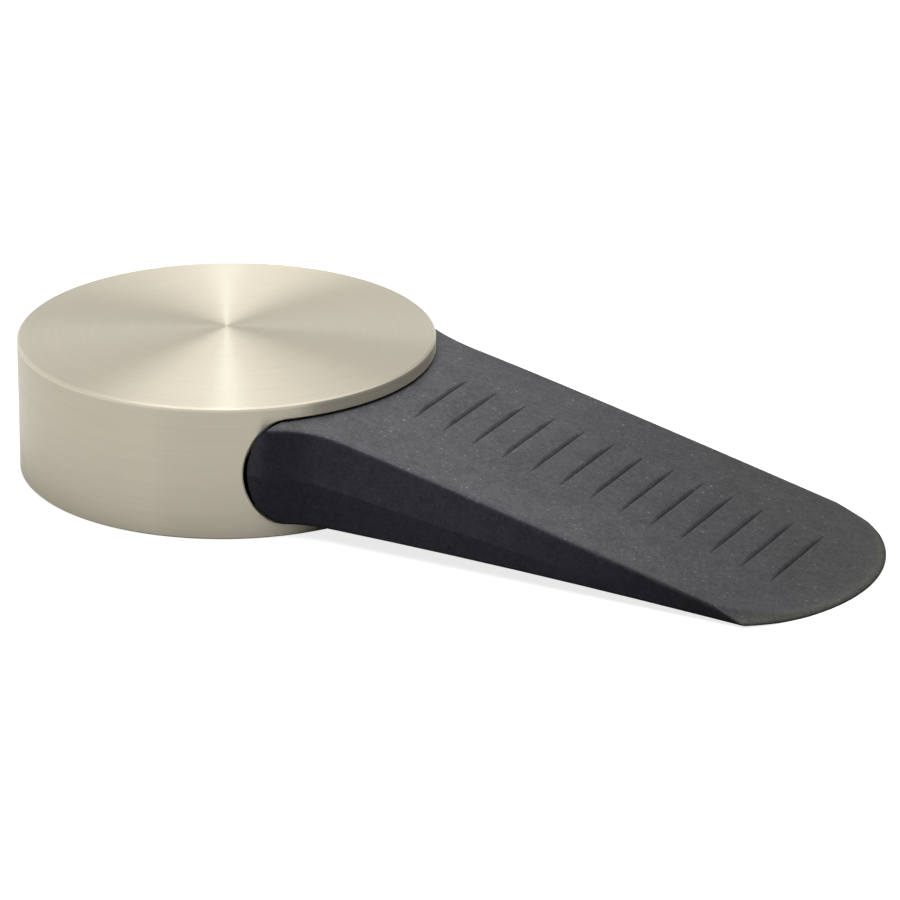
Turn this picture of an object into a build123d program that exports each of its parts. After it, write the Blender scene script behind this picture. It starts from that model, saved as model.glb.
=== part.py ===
from build123d import *
from math import atan, cos, radians, sin, sqrt, tan
import os

# Floor door stop: a heavy metal drum with a rubber wedge set in a slot across it.
# Millimetres, +Z up. The origin is on the drum's axis at the floor, and the wedge points along +X.

# Drum
drum_diameter = 60.0
drum_height = 20.75
drum_crown = 1.1
drum_rim_width = 0.3
drum_rim_drop = 0.25
drum_foot_chamfer = 0.25

# Slot milled across the drum, open to both sides and to the front
slot_roof = 2.2
slot_lip = 2.0
slot_end = 16.5
slot_end_radius = 9.8
slot_corner_radius = 3.0
slot_edge_chamfer = 0.15

# Wedge in plan
butt_width = 49.0
shoulder_radius = 4.0
flare_radius = 14.5
flare_reach = 28.7
tongue_width = 42.0
tip_reach = 100.6
tip_radius = 29.3
tip_corner_radius = 2.5
tip_edge = 0.15
tip_bevel_angle = 33.0
tip_bevel_reach = 4.5

# Wedge from the side: the top is turned about the drum's axis, so its slope is a cone
seat_clearance = 0.2
butt_gap = 0.4
slope_start = 29.3
slope_angle = 13.85
tip_thickness = 0.5
tip_blend_radius = 25.0
sole_reach = 97.3
top_edge_round = 0.5

# Mould: both halves of the sides lean in from a parting line that slopes down to the tip
parting_height = 12.1
parting_angle = 7.7
side_draft = 2.2

# Saw-tooth notches across the slope: a shallow ramp, then a narrow cut with a steep back
notch_count = 13
notch_first = 34.9
notch_pitch = 4.6
notch_ramp_length = 2.6
notch_ramp_drop = 0.15
notch_depth = 0.7
notch_cut_width = 0.75
notch_back_width = 0.2
notch_sweep_radius = 80.0

# Room by which a cutting shape runs past what it cuts
overrun = 3.0

# Worked out from the sizes above
drum_radius = drum_diameter / 2
rim_height = drum_height - drum_crown
roof_height = rim_height - slot_roof
slot_middle = (slot_lip + roof_height) / 2
wedge_top = roof_height - seat_clearance
wedge_sole = slot_lip + seat_clearance
slope = tan(radians(slope_angle))


def end_reach(end, radius, height):
    """Distance from the drum's axis to the slot's rounded end, at a height."""
    return end + radius - sqrt(radius**2 - (height - slot_middle) ** 2)


def slope_height(reach):
    """Height of the wedge's sloping top, at a distance from the drum's axis."""
    return wedge_top - slope * (reach - slope_start)


def along_parting(reach):
    """Distance along the sloping parting plane, at a level distance from the drum's axis."""
    return reach / cos(radians(parting_angle))


# Turned shapes are drawn at the back, so that their seams stay clear of the slot and the wedge
back_plane = Plane((0, 0, 0), x_dir=(-1, 0, 0), z_dir=(0, 1, 0))


# Drum: a turned disc with a slightly domed top, a bevelled rim and the slot through it
with BuildPart() as drum:
    with BuildSketch(back_plane):
        with BuildLine():
            crown = TangentArc((0, drum_height), (drum_radius - drum_rim_width, rim_height), tangent=(1, 0))
            Polyline(
                crown @ 1,
                (drum_radius, rim_height - drum_rim_drop),
                (drum_radius, drum_foot_chamfer),
                (drum_radius - drum_foot_chamfer, 0),
                (0, 0),
                (0, drum_height),
            )
        make_face()
    revolve(axis=Axis.Z)

    slot_low = (end_reach(slot_end, slot_end_radius, slot_lip), slot_lip)
    slot_high = (end_reach(slot_end, slot_end_radius, roof_height), roof_height)
    slot_mouth = drum_radius + overrun
    with BuildSketch(Plane.XZ.offset(-slot_mouth)) as slot_profile:
        with BuildLine():
            ThreePointArc(slot_low, (slot_end, slot_middle), slot_high)
            Polyline(slot_high, (slot_mouth, roof_height), (slot_mouth, slot_lip), slot_low)
        make_face()
        fillet(slot_profile.vertices().sort_by(Axis.X)[:2], slot_corner_radius)
    extrude(amount=2 * slot_mouth, mode=Mode.SUBTRACT)
    mouth_edges = drum.edges(Select.LAST).filter_by(GeomType.LINE, reverse=True)
    chamfer(mouth_edges, slot_edge_chamfer)

drum.part.label = "drum"


# Wedge: a moulded rubber piece whose butt fills the slot
parting_direction = Vector(cos(radians(parting_angle)), 0, -sin(radians(parting_angle)))
parting_normal = Vector(sin(radians(parting_angle)), 0, cos(radians(parting_angle)))
parting_plane = Plane((0, 0, parting_height), x_dir=parting_direction, z_dir=parting_normal)
slope_direction = Vector(cos(radians(slope_angle)), 0, -sin(radians(slope_angle)))
slope_normal = Vector(sin(radians(slope_angle)), 0, cos(radians(slope_angle)))

with BuildPart() as wedge:
    # Outline at the parting line, longer than the wedge at both ends
    butt_half = butt_width / 2
    tongue_half = tongue_width / 2
    flare_centre = tongue_half + flare_radius
    flare_start = flare_reach - sqrt(flare_radius**2 - (flare_centre - butt_half) ** 2)
    flare_half_turn = atan((flare_reach - flare_start) / (flare_centre - butt_half)) / 2
    flare_middle = flare_reach - flare_radius * sin(flare_half_turn)
    blank_start = along_parting(slot_end - overrun)
    blank_end = along_parting(tip_reach + overrun)
    with BuildSketch(parting_plane) as outline:
        with BuildLine():
            butt_side = Line((blank_start, butt_half), (along_parting(flare_start), butt_half))
            flare = ThreePointArc(
                butt_side @ 1,
                (along_parting(flare_middle), flare_centre - flare_radius * cos(flare_half_turn)),
                (along_parting(flare_reach), tongue_half),
            )
            Line(flare @ 1, (blank_end, tongue_half))
            mirror(about=Plane.XZ)
            Line((blank_start, butt_half), (blank_start, -butt_half))
            Line((blank_end, tongue_half), (blank_end, -tongue_half))
        make_face()
        fillet(outline.vertices().group_by(Axis.X)[1], shoulder_radius)
    extrude(amount=drum_height)
    drafted = wedge.faces().filter_by(lambda face: abs(face.normal_at().dot(parting_normal)) < 0.1)
    draft(drafted, parting_plane, side_draft)
    mirror(about=parting_plane)

    # Sloping top with a thin level lip at the tip, and its rounded long edges
    lip_start = slope_start + (wedge_top - tip_thickness) / slope
    slope_head = slot_end - 2 * overrun
    slope_tail = blank_end + butt_width
    with BuildSketch(back_plane) as slope_cut:
        with BuildLine():
            Polyline(
                (slope_head, slope_height(slope_head)),
                (lip_start, tip_thickness),
                (slope_tail, tip_thickness),
                (slope_tail, 2 * drum_height),
                (slope_head, 2 * drum_height),
                close=True,
            )
        make_face()
        lip_corner = slope_cut.vertices().group_by(Axis.Y)[0].sort_by(Axis.X)[0]
        fillet(lip_corner, tip_blend_radius)
    revolve(axis=Axis.Z, mode=Mode.SUBTRACT)
    long_edges = wedge.edges().filter_by(GeomType.HYPERBOLA).sort_by(SortBy.LENGTH)[-2:]
    fillet(long_edges, top_edge_round)

    # Side view: the butt follows the slot, and the sole runs down from it to the floor
    butt_end = slot_end + butt_gap
    butt_radius = slot_end_radius - butt_gap
    butt_low = (end_reach(butt_end, butt_radius, wedge_sole), wedge_sole)
    butt_high = (end_reach(butt_end, butt_radius, wedge_top), wedge_top)
    sole_start = (butt_low[0] + slot_corner_radius, wedge_sole)
    wedge_end = tip_reach + 2 * overrun
    with BuildSketch(Plane.XZ.offset(-butt_width)) as side_view:
        with BuildLine():
            ThreePointArc(butt_low, (butt_end, slot_middle), butt_high)
            Polyline(butt_high, (wedge_end, wedge_top), (wedge_end, 0), (sole_reach, 0))
            TangentArc(sole_start, (sole_reach, 0), tangent=(1, 0))
            Line(sole_start, butt_low)
        make_face()
        fillet(side_view.vertices().sort_by(Axis.X)[:2], slot_corner_radius - seat_clearance)
    extrude(amount=2 * butt_width, mode=Mode.INTERSECT)

    # Row of notches, each swept about an axle along the slope and drawn on the sweep's far side
    for number in range(notch_count):
        reach = notch_first + number * notch_pitch
        crest = Vector(reach, 0, slope_height(reach))
        axle = crest + slope_normal * notch_sweep_radius
        far_side = axle + slope_normal * notch_sweep_radius
        with BuildSketch(Plane(far_side, x_dir=slope_direction, z_dir=(0, 1, 0))):
            with BuildLine():
                Polyline(
                    (-notch_ramp_length, 0),
                    (-notch_cut_width, -notch_ramp_drop),
                    (-notch_back_width, -notch_depth),
                    (0, 0),
                    (0, overrun),
                    (-notch_ramp_length, overrun),
                    close=True,
                )
            make_face()
        revolve(axis=Axis(axle, slope_direction), mode=Mode.SUBTRACT)

    # Round tip, with a bevel that runs out to a thin edge
    tip_centre = tip_reach - tip_radius
    tip_corner = tip_centre + sqrt(tip_radius**2 - tongue_half**2)
    with BuildSketch(Plane.XY) as tip_outline:
        with BuildLine():
            ThreePointArc((tip_corner, tongue_half), (tip_reach, 0), (tip_corner, -tongue_half))
            Polyline(
                (tip_corner, -tongue_half),
                (flare_reach, -tongue_half),
                (0, -butt_width),
                (0, butt_width),
                (flare_reach, tongue_half),
                (tip_corner, tongue_half),
            )
        make_face()
        fillet(tip_outline.vertices().group_by(Axis.X)[-1], tip_corner_radius)
    extrude(amount=drum_height, mode=Mode.INTERSECT)
    bevel_inside = tip_radius - tip_bevel_reach
    bevel_top = tip_edge + tip_bevel_reach * tan(radians(tip_bevel_angle))
    with BuildSketch(Plane((tip_centre, 0, 0), x_dir=(0, -1, 0), z_dir=(-1, 0, 0))):
        with BuildLine():
            Polyline(
                (tip_radius, tip_edge),
                (bevel_inside, bevel_top),
                (bevel_inside, drum_height),
                (tip_radius + overrun, drum_height),
                (tip_radius + overrun, tip_edge),
                close=True,
            )
        make_face()
    revolve(axis=Axis((tip_centre, 0, 0), (0, 0, 1)), revolution_arc=180, mode=Mode.SUBTRACT)

wedge.part.label = "wedge"


os.makedirs("parts", exist_ok=True)
export_step(drum.part, "parts/drum.step")
export_step(wedge.part, "parts/wedge.step")
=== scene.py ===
import bpy
from math import cos, pi, radians, sin
from mathutils import Matrix, Vector


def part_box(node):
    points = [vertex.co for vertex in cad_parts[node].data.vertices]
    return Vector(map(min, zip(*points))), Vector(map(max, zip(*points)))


# A floor door stop: a spun metal drum with a notched rubber wedge in its slot.
# Metres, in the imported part's own frame: +Z up, the wedge points along +X, the floor is z = 0.

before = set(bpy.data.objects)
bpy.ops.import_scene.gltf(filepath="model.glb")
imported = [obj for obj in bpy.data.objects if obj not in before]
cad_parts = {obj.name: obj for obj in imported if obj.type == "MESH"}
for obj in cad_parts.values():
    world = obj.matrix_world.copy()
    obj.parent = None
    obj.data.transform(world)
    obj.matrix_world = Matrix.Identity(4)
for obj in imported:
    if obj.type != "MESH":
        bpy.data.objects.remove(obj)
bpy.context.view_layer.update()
scene = bpy.context.scene
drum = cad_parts["drum"]
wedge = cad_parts["wedge"]
drum_low, drum_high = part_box("drum")
drum_radius = (drum_high.y - drum_low.y) / 2
drum_height = drum_high.z
wedge_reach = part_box("wedge")[1].x

# Camera: where the photograph was taken from
camera_azimuth = radians(27.18)
camera_elevation = radians(21.63)
camera_roll = 0.004
camera_distance = 0.7993
camera_aim_right = 0.03206
camera_aim_up = 0.00161
camera_lens = 221.07
camera_sensor = 36.0
camera_clip = 0.08

# The level direction away from the camera, at the drum
behind = radians(119.65)

# Metal: its colour, and how the brushing spreads its gloss
metal_colour = (0.694, 0.640, 0.520)
metal_roughness = 0.40
metal_anisotropy = 1.0
gloss_turn = 0.25
metal_edge_round = 0.00008

# Brushing: fine and broad streaks around the drum's axis, and short scratches among them
streak_turns = 2.0
streak_breakup = 0.6
streak_spread = 0.3
fine_pitch = 0.00013
fine_detail = 3.0
fine_shade = 0.035
fine_gloss = 0.02
fine_bump = 0.06
fine_depth = 0.00002
broad_pitch = 0.00078
broad_detail = 2.0
broad_shade = 0.02
scratch_pitch = 0.00026
scratch_turns = 10.0
scratch_detail = 1.0
scratch_start = 0.70
scratch_full = 0.80
scratch_shade = 0.14
axis_guard = 1e-5

# Rim: a narrow band around the drum's top edge, with a painted highlight on it
rim_height = 0.01965
rim_width = 0.0003
rim_drop = 0.0006
rim_highlight = 0.22
rim_inner_soft = 0.00003
rim_lower_soft = 0.0001

# Rubber: a dark matte moulding, with a painted bluish tint on its sides for the light they catch,
# and a lighter olive tone at its tip
rubber_colour = (0.099, 0.0985, 0.1050)
painted_side_tint = (0.097, 0.0945, 0.1190)
tip_tone_colour = (0.136, 0.136, 0.120)
rubber_roughness = 0.62
rubber_specular = 0.12
rubber_edge_round = 0.0006

# Grain and clouds in the rubber, from fine to wide
grain_pitch = 0.00028
grain_detail = 3.0
grain_spread = 0.25
grain_shade = 0.20
grain_bump = 0.35
grain_depth = 0.0001
cloud_spread = 0.2
mottle_pitch = 0.0009
mottle_detail = 2.0
mottle_shade = 0.10
bloom_pitch = 0.0035
bloom_detail = 4.0
bloom_shade = 0.06
haze_pitch = 0.014
haze_detail = 2.0
haze_shade = 0.05

# Pale specks: pitch, size as a share of it, and the share of places that have one
small_specks = (0.00055, 0.40, 0.22)
large_specks = (0.00121, 0.26, 0.25)
speck_core = 1 / 3
speck_spread = 0.15
speck_least = 0.5
speck_most = 1.3
speck_on_sides = 0.4

# Painted light on the rubber: lighter or darker by which way a face is turned and how far along it
# is
upward_start = 0.2
upward_full = 0.8
sideways_start = 0.4
sideways_full = 0.8
parting_lean = 0.02
far_side_weight = 0.9
top_light_end = 0.11
top_light_near = 0.62
top_light_far = -0.24
side_light_start = 0.045
side_light_end = 0.085
side_light_near = 0.42
side_light_far = -0.38

# Painted shade in creases, and the tip's lighter olive tone
crease_reach = 0.0006
crease_closed = 0.35
crease_open = 0.8
crease_shade = 0.12
tip_radius = 0.0293
tip_band_width = 0.0026
tip_lip = 0.0004
fade_start = 0.065
fade_end = 0.105
fade_most = 0.22

# Samples for softened edges and for creases
edge_samples = 6
crease_samples = 8

# Light: levels are shares of a plain white level
ambient_level = 2.0
ambient_focus = 6.0
floor_albedo = 0.60
floor_bounce = 0.10
floor_glow = 0.80
mirrored_floor_glow = 0.45
foot_shade_reach = 0.017
floor_half_width = 3.0

# Darker parts of the mirrored studio: on the camera's side, and to the right of the object
camera_side_level = 0.58
camera_side_half = radians(38)
camera_side_soft = radians(2)
camera_side_low = 0.4
camera_side_high = 0.75
dark_side_level = 0.22
dark_side_turn = radians(84)
dark_side_half = radians(56)
dark_side_soft = radians(7)
dark_side_low = 0.2
dark_side_high = 0.5

# Softboxes: two wide ones overhead, a cool strip in line with the camera, a low panel behind.
# Degrees to the camera's right and up from behind, then distance, width, depth, level and colour.
softboxes = {
    "key": (-8.5, 89, 1.15, 0.88, 1.4, 1.13, (1, 1, 1)),
    "fill": (26, 89, 1.15, 0.60, 1.4, 0.71, (1, 1, 1)),
    "strip": (0, 82, 1.1, 0.05, 0.6, 5.2, (0.80, 0.88, 1.0)),
    "panel": (0, 24, 1.2, 1.7, 0.9, 0.10, (1, 1, 1)),
}


def node(tree, kind, **settings):
    """A new shader node with its properties set."""
    made = tree.nodes.new(kind)
    for name, value in settings.items():
        setattr(made, name, value)
    return made


def feed(tree, socket, value):
    """Links a socket to an output, or sets it to a plain value."""
    if isinstance(value, bpy.types.NodeSocket):
        tree.links.new(value, socket)
    else:
        socket.default_value = value


def math_node(tree, operation, *values):
    """The output of a maths node; its inputs are numbers or sockets."""
    made = node(tree, "ShaderNodeMath", operation=operation)
    for socket, value in zip(made.inputs, values):
        feed(tree, socket, value)
    return made.outputs[0]


def vector_node(tree, operation, result, *values):
    """The named output of a vector maths node; its inputs are vectors or sockets."""
    made = node(tree, "ShaderNodeVectorMath", operation=operation)
    for socket, value in zip(made.inputs, values):
        feed(tree, socket, value)
    return made.outputs[result]


def ramp(tree, value, low, high, to_low=0.0, to_high=1.0):
    """Maps a value smoothly from one range to another."""
    made = node(tree, "ShaderNodeMapRange", interpolation_type="SMOOTHSTEP")
    feed(tree, made.inputs["Value"], value)
    limits = {"From Min": low, "From Max": high, "To Min": to_low, "To Max": to_high}
    for name, limit in limits.items():
        feed(tree, made.inputs[name], limit)
    return made.outputs["Result"]


def varied(tree, noise, spread, amount, middle=0.0):
    """A middle number that a noise raises and lowers by an amount."""
    return ramp(tree, noise, 0.5 - spread, 0.5 + spread, middle - amount, middle + amount)


def split(tree, vector):
    """The three parts of a vector."""
    parts = node(tree, "ShaderNodeSeparateXYZ")
    feed(tree, parts.inputs[0], vector)
    return parts.outputs


def span(tree, x, y):
    """The length of a level vector, from its two parts."""
    squares = math_node(tree, "MULTIPLY", x, x), math_node(tree, "MULTIPLY", y, y)
    return math_node(tree, "SQRT", math_node(tree, "ADD", *squares))


def blended(tree, share, first, second):
    """A colour between two others: the first where share is zero, the second where it is one."""
    made = node(tree, "ShaderNodeMix", data_type="RGBA")
    for name, value in (("Factor", share), ("A", first), ("B", second)):
        feed(tree, made.inputs[name], value)
    return made.outputs["Result"]


def tinted(tree, colour, shade):
    """A colour made lighter or darker by a socket."""
    made = node(tree, "ShaderNodeVectorMath", operation="SCALE")
    feed(tree, made.inputs[0], colour)
    feed(tree, made.inputs["Scale"], shade)
    return made.outputs[0]


def empty_tree(owner):
    """The node tree of a new material or world, emptied."""
    owner.use_nodes = True
    owner.node_tree.nodes.clear()
    return owner.node_tree


def new_material(name):
    """A material whose node tree has only an output and a principled shader."""
    material = bpy.data.materials.new(name)
    tree = empty_tree(material)
    output = node(tree, "ShaderNodeOutputMaterial")
    shader = node(tree, "ShaderNodeBsdfPrincipled")
    feed(tree, output.inputs["Surface"], shader.outputs[0])
    return material, tree, shader


def roughen(tree, shader, edge_round, height, strength, depth):
    """Gives a shader softened edges and a fine bump."""
    bevel = node(tree, "ShaderNodeBevel", samples=edge_samples)
    feed(tree, bevel.inputs["Radius"], edge_round)
    bump = node(tree, "ShaderNodeBump")
    feed(tree, bump.inputs["Strength"], strength)
    feed(tree, bump.inputs["Distance"], depth)
    feed(tree, bump.inputs["Height"], height)
    feed(tree, bump.inputs["Normal"], bevel.outputs[0])
    feed(tree, shader.inputs["Normal"], bump.outputs[0])


def turned_noise(tree, place, pitch, turns, detail):
    """Noise drawn out around the drum's axis, as a spinning brush leaves it."""
    x, y, z = split(tree, place)
    reach = span(tree, x, y)
    away = math_node(tree, "MAXIMUM", reach, axis_guard)
    around = node(tree, "ShaderNodeCombineXYZ")
    feed(tree, around.inputs[0], math_node(tree, "MULTIPLY", reach, 1 / pitch))
    for socket, part in zip(around.inputs[1:], (x, y)):
        direction = math_node(tree, "DIVIDE", part, away)
        feed(tree, socket, math_node(tree, "MULTIPLY", direction, turns))
    noise = node(tree, "ShaderNodeTexNoise", noise_dimensions="4D")
    feed(tree, noise.inputs["Vector"], around.outputs[0])
    feed(tree, noise.inputs["W"], math_node(tree, "MULTIPLY", z, 1 / pitch))
    feed(tree, noise.inputs["Scale"], 1.0)
    feed(tree, noise.inputs["Detail"], detail)
    feed(tree, noise.inputs["Roughness"], streak_breakup)
    return noise.outputs["Fac"]


def rim_highlight_band(tree, place):
    """One on the drum's rim, where a highlight is painted, zero elsewhere."""
    x, y, z = split(tree, place)
    edge = drum_radius - rim_width
    foot = rim_height - rim_drop
    outside = ramp(tree, span(tree, x, y), edge - rim_inner_soft, edge + rim_inner_soft)
    above = ramp(tree, z, foot - rim_lower_soft, foot + rim_lower_soft)
    return math_node(tree, "MULTIPLY", outside, above)


def brushed_metal():
    """Satin metal, spun on the top and brushed around the wall."""
    material, tree, shader = new_material("brushed_metal")
    place = node(tree, "ShaderNodeTexCoord").outputs["Object"]
    fine = turned_noise(tree, place, fine_pitch, streak_turns, fine_detail)
    broad = turned_noise(tree, place, broad_pitch, streak_turns, broad_detail)
    scratch = turned_noise(tree, place, scratch_pitch, scratch_turns, scratch_detail)
    shade = math_node(tree, "ADD", varied(tree, fine, streak_spread, fine_shade, 1.0),
                      varied(tree, broad, streak_spread, broad_shade))
    scratched = ramp(tree, scratch, scratch_start, scratch_full, 0.0, scratch_shade)
    shade = math_node(tree, "SUBTRACT", shade, scratched)
    # Painted highlight: the rim band's colour is made brighter
    painted_highlight = math_node(tree, "MULTIPLY_ADD", rim_highlight_band(tree, place), rim_highlight, 1.0)
    shade = math_node(tree, "MULTIPLY", shade, painted_highlight)
    feed(tree, shader.inputs["Base Color"], tinted(tree, metal_colour, shade))
    gloss = varied(tree, fine, streak_spread, fine_gloss, metal_roughness)
    feed(tree, shader.inputs["Roughness"], gloss)
    shader.inputs["Metallic"].default_value = 1.0
    shader.inputs["Anisotropic"].default_value = metal_anisotropy
    shader.inputs["Anisotropic Rotation"].default_value = gloss_turn
    tangent = node(tree, "ShaderNodeTangent", direction_type="RADIAL", axis="Z")
    feed(tree, shader.inputs["Tangent"], tangent.outputs[0])
    roughen(tree, shader, metal_edge_round, fine, fine_bump, fine_depth)
    return material


def cloud_noise(tree, place, pitch, detail):
    """Plain noise at a pitch."""
    noise = node(tree, "ShaderNodeTexNoise")
    feed(tree, noise.inputs["Vector"], place)
    feed(tree, noise.inputs["Scale"], 1 / pitch)
    feed(tree, noise.inputs["Detail"], detail)
    return noise.outputs["Fac"]


def pale_specks(tree, place, pitch, size, share):
    """Scattered round specks: one inside a speck, zero between them."""
    cells = node(tree, "ShaderNodeTexVoronoi")
    feed(tree, cells.inputs["Vector"], place)
    feed(tree, cells.inputs["Scale"], 1 / pitch)
    near = ramp(tree, cells.outputs["Distance"], size * speck_core, size, 1.0, 0.0)
    drawn = node(tree, "ShaderNodeSeparateColor")
    feed(tree, drawn.inputs[0], cells.outputs["Color"])
    return math_node(tree, "MULTIPLY", near, ramp(tree, drawn.outputs[0], 1 - share, 1.0))


def openness(tree, reach):
    """How open a place is: one in the open, less in a crease or a corner within reach."""
    near = node(tree, "ShaderNodeAmbientOcclusion", samples=crease_samples)
    feed(tree, near.inputs["Distance"], reach)
    return near.outputs["AO"]


def tip_edge(tree, x, y):
    """One at the edge of the wedge's round tip, zero elsewhere."""
    out = math_node(tree, "SUBTRACT", x, wedge_reach - tip_radius)
    edge = ramp(tree, span(tree, out, y), tip_radius - tip_band_width, tip_radius - tip_lip)
    return math_node(tree, "MULTIPLY", edge, math_node(tree, "GREATER_THAN", out, tip_radius / 2))


def moulded_rubber():
    """Dark matte rubber with a fine grain, cloudy bloom, pale specks, painted light and shade, and
    a lighter olive tip.
    """
    material, tree, shader = new_material("moulded_rubber")
    place = node(tree, "ShaderNodeTexCoord").outputs["Object"]
    x, y, _ = split(tree, place)
    _, facing_side, facing_up = split(tree, node(tree, "ShaderNodeNewGeometry").outputs["Normal"])
    upward = ramp(tree, facing_up, upward_start, upward_full)

    grain = cloud_noise(tree, place, grain_pitch, grain_detail)
    mottle = cloud_noise(tree, place, mottle_pitch, mottle_detail)
    bloom = cloud_noise(tree, place, bloom_pitch, bloom_detail)
    haze = cloud_noise(tree, place, haze_pitch, haze_detail)
    shade = varied(tree, grain, grain_spread, grain_shade, 1.0)
    for cloud, amount in ((mottle, mottle_shade), (bloom, bloom_shade), (haze, haze_shade)):
        shade = math_node(tree, "ADD", shade, varied(tree, cloud, cloud_spread, amount))

    # Specks show most on the top and where the bloom is thick
    specks = math_node(tree, "ADD", pale_specks(tree, place, *small_specks),
                       pale_specks(tree, place, *large_specks))
    thick = ramp(tree, bloom, 0.5 - speck_spread, 0.5 + speck_spread, speck_least, speck_most)
    specks = math_node(tree, "MULTIPLY", specks, thick)
    shown = math_node(tree, "MULTIPLY_ADD", upward, 1 - speck_on_sides, speck_on_sides)
    shade = math_node(tree, "ADD", shade, math_node(tree, "MULTIPLY", specks, shown))

    # Painted light on the top: lighter near the drum, and darker out to the tip and the far side
    along = math_node(tree, "MULTIPLY_ADD", y, far_side_weight, x)
    painted_light = ramp(tree, along, 0.0, top_light_end, top_light_near, top_light_far)
    shade = math_node(tree, "MULTIPLY", shade, math_node(tree, "MULTIPLY_ADD", upward, painted_light, 1.0))

    # Painted light on the sides above the parting line: paler near the drum and darker towards the
    # tip
    sideways = ramp(tree, math_node(tree, "ABSOLUTE", facing_side), sideways_start, sideways_full)
    leaning = ramp(tree, facing_up, -parting_lean, parting_lean)
    painted_light = ramp(tree, x, side_light_start, side_light_end, side_light_near, side_light_far)
    painted_side_light = math_node(tree, "MULTIPLY", math_node(tree, "MULTIPLY", leaning, sideways), painted_light)
    shade = math_node(tree, "MULTIPLY_ADD", shade, painted_side_light, shade)

    # Painted shade: creases and corners within reach are darkened
    clear = ramp(tree, openness(tree, crease_reach), crease_closed, crease_open, crease_shade, 1.0)
    shade = math_node(tree, "MULTIPLY", shade, clear)

    # The tip's edge takes a lighter olive tone, and the rubber fades a little towards that tone
    # near the tip
    faded = ramp(tree, along, fade_start, fade_end, 0.0, fade_most)
    tip_toning = math_node(tree, "MAXIMUM", tip_edge(tree, x, y), faded)
    # Faces turned sideways get a painted bluish tint, standing in for the light they catch
    tone = blended(tree, upward, (*painted_side_tint, 1), (*rubber_colour, 1))
    tone = blended(tree, tip_toning, tone, (*tip_tone_colour, 1))
    feed(tree, shader.inputs["Base Color"], tinted(tree, tone, shade))
    shader.inputs["Roughness"].default_value = rubber_roughness
    shader.inputs["Specular IOR Level"].default_value = rubber_specular
    roughen(tree, shader, rubber_edge_round, grain, grain_bump, grain_depth)
    return material


def towards(tree, direction, azimuth, half_width, soft):
    """One for directions within an angle of an azimuth, falling to zero past it."""
    level = vector_node(tree, "MULTIPLY", "Vector", direction, (1, 1, 0))
    flat = vector_node(tree, "NORMALIZE", "Vector", level)
    middle = (cos(azimuth), sin(azimuth), 0)
    along = vector_node(tree, "DOT_PRODUCT", "Value", flat, middle)
    return ramp(tree, along, cos(half_width + soft), cos(half_width - soft))


def right_side(tree, direction):
    """One for directions to the right of the object, where the mirrored studio is dark."""
    return towards(tree, direction, behind - dark_side_turn, dark_side_half, dark_side_soft)


def white_floor():
    """A pale floor that the camera sees as white, with the object's shadow on it."""
    material = bpy.data.materials.new("white_floor")
    tree = empty_tree(material)
    path = node(tree, "ShaderNodeLightPath").outputs
    place = node(tree, "ShaderNodeNewGeometry").outputs["Position"]
    mirrored = math_node(tree, "MAXIMUM", path["Is Glossy Ray"], path["Is Transmission Ray"])
    dark = math_node(tree, "MULTIPLY", mirrored, right_side(tree, place))
    lit = math_node(tree, "MULTIPLY_ADD", dark, dark_side_level - 1, 1.0)

    # The floor throws little light back up at the object
    held_back = floor_albedo * (floor_bounce - 1)
    albedo = math_node(tree, "MULTIPLY_ADD", path["Is Diffuse Ray"], held_back, floor_albedo)
    diffuse = node(tree, "ShaderNodeBsdfDiffuse")
    feed(tree, diffuse.inputs["Color"], math_node(tree, "MULTIPLY", albedo, lit))

    # Mirrored in the metal, it darkens towards the drum's foot: a painted contact shadow, seen
    # only in reflections
    from_axis = vector_node(tree, "LENGTH", "Value", place)
    past_foot = ramp(tree, from_axis, drum_radius, drum_radius + foot_shade_reach,
                     0.0, mirrored_floor_glow)
    to_camera = math_node(tree, "MULTIPLY", path["Is Camera Ray"], floor_glow)
    to_metal = math_node(tree, "MULTIPLY", mirrored, past_foot)
    level = math_node(tree, "MAXIMUM", to_camera, to_metal)
    glow = node(tree, "ShaderNodeEmission")
    feed(tree, glow.inputs["Strength"], math_node(tree, "MULTIPLY", level, lit))

    both = node(tree, "ShaderNodeAddShader")
    feed(tree, both.inputs[0], diffuse.outputs[0])
    feed(tree, both.inputs[1], glow.outputs[0])
    output = node(tree, "ShaderNodeOutputMaterial")
    feed(tree, output.inputs["Surface"], both.outputs[0])
    return material


def seen_directly(tree):
    """One for rays from the camera and for reflected and refracted ones, zero for the rest."""
    path = node(tree, "ShaderNodeLightPath").outputs
    seen = math_node(tree, "ADD", path["Is Camera Ray"], path["Is Glossy Ray"])
    seen = math_node(tree, "ADD", seen, path["Is Transmission Ray"])
    return math_node(tree, "MINIMUM", seen, 1.0)


def set_world():
    """A white studio, darker low down at the camera's side and to the right, lit from overhead."""
    world = bpy.data.worlds.new("studio")
    tree = empty_tree(world)
    direction = node(tree, "ShaderNodeTexCoord").outputs["Generated"]
    height = math_node(tree, "MAXIMUM", split(tree, direction)[2], 0.0)
    white = 1.0
    for sector, low, high, level in (
        (towards(tree, direction, behind + pi, camera_side_half, camera_side_soft),
         camera_side_low, camera_side_high, camera_side_level),
        (right_side(tree, direction), dark_side_low, dark_side_high, dark_side_level),
    ):
        dark = math_node(tree, "MULTIPLY", sector, ramp(tree, height, low, high, 1.0, 0.0))
        lit = math_node(tree, "MULTIPLY_ADD", dark, level - 1, 1.0)
        white = math_node(tree, "MULTIPLY", white, lit)
    overhead = math_node(tree, "POWER", height, ambient_focus)
    overhead = math_node(tree, "MULTIPLY", overhead, ambient_level)
    seen = seen_directly(tree)
    unseen = math_node(tree, "SUBTRACT", 1.0, seen)
    strength = math_node(tree, "ADD", math_node(tree, "MULTIPLY", white, seen),
                         math_node(tree, "MULTIPLY", overhead, unseen))
    background = node(tree, "ShaderNodeBackground")
    feed(tree, background.inputs["Strength"], strength)
    output = node(tree, "ShaderNodeOutputWorld")
    feed(tree, output.inputs["Surface"], background.outputs[0])
    scene.world = world


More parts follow.
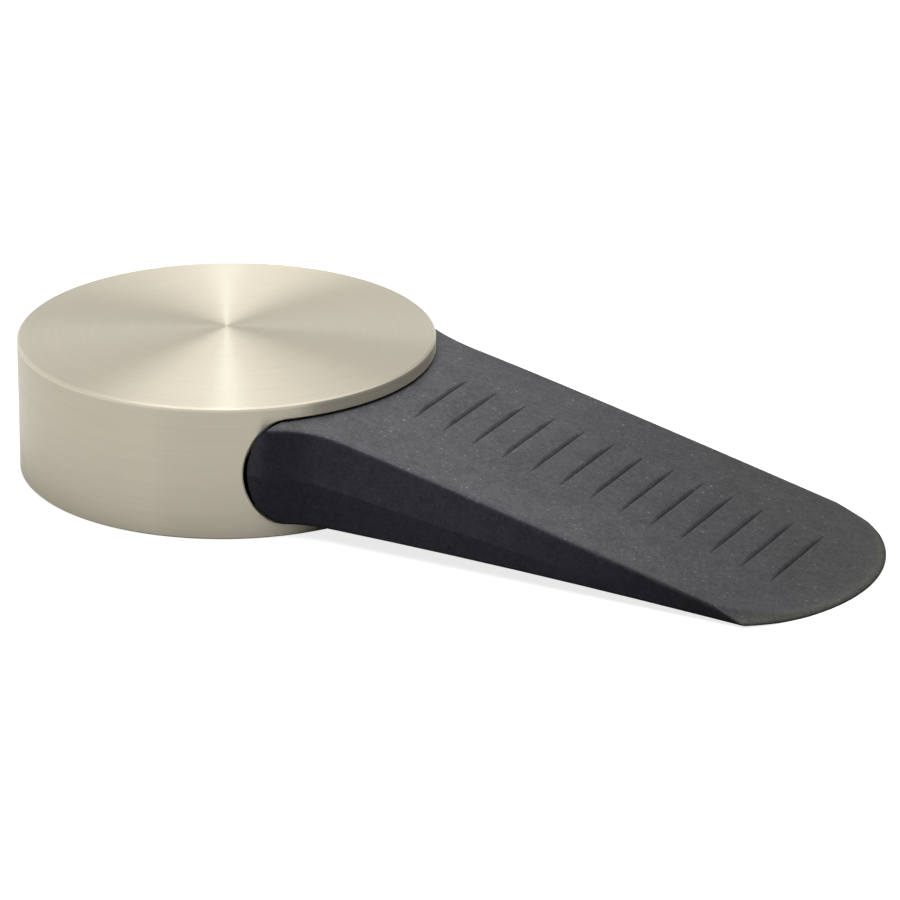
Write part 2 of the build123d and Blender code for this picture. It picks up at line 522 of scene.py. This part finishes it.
def add_softbox(name, side, elevation, distance, width, depth, level, colour):
    """An area light aimed at the drum's top.

    Side is its angle to the camera's right, and elevation its angle up from behind. Level is the
    brightness of its face, where 1 is white.
    """
    light = bpy.data.lights.new(name, "AREA")
    light.shape = "RECTANGLE"
    light.size = width
    light.size_y = depth
    light.energy = level * width * depth * pi
    light.color = colour
    box = bpy.data.objects.new(name, light)
    scene.collection.objects.link(box)
    right = Vector((sin(behind), -cos(behind), 0))
    back = Vector((cos(behind), sin(behind), 0))
    raised = back * cos(elevation) + Vector((0, 0, sin(elevation)))
    out = right * sin(side) + raised * cos(side)
    across = (right - out * out.dot(right)).normalized()
    turn = Matrix((across, out.cross(across), out)).transposed()
    target = Vector((0, 0, drum_height))
    box.matrix_world = Matrix.Translation(target + out * distance) @ turn.to_4x4()


def add_camera():
    """The photograph's view."""
    right = Vector((cos(camera_azimuth), sin(camera_azimuth), 0))
    level = Vector((-sin(camera_azimuth), cos(camera_azimuth), 0))
    forward = level * cos(camera_elevation) - Vector((0, 0, sin(camera_elevation)))
    up = right.cross(forward)
    aim = right * camera_aim_right + up * camera_aim_up
    data = bpy.data.cameras.new("camera")
    data.sensor_width = camera_sensor
    data.lens = camera_lens
    data.clip_start = camera_clip
    camera = bpy.data.objects.new("camera", data)
    scene.collection.objects.link(camera)
    rolled_right = (right + up * camera_roll).normalized()
    rolled_up = rolled_right.cross(forward)
    turn = Matrix((rolled_right, rolled_up, -forward)).transposed()
    camera.matrix_world = Matrix.Translation(aim - forward * camera_distance) @ turn.to_4x4()
    scene.camera = camera


def add_floor():
    """A wide plain floor at the object's foot."""
    mesh = bpy.data.meshes.new("floor")
    low, high = -floor_half_width, floor_half_width
    corners = [(low, low, 0), (high, low, 0), (high, high, 0), (low, high, 0)]
    mesh.from_pydata(corners, [], [(0, 1, 2, 3)])
    floor = bpy.data.objects.new("floor", mesh)
    floor.data.materials.append(white_floor())
    scene.collection.objects.link(floor)


def dress(piece, material):
    """Puts one material on a whole piece."""
    piece.data.materials.clear()
    piece.data.materials.append(material)


dress(drum, brushed_metal())
dress(wedge, moulded_rubber())
add_floor()
set_world()
add_camera()
for name, (side, elevation, *face) in softboxes.items():
    add_softbox(name, radians(side), radians(elevation), *face)

scene.view_settings.view_transform = "Standard"
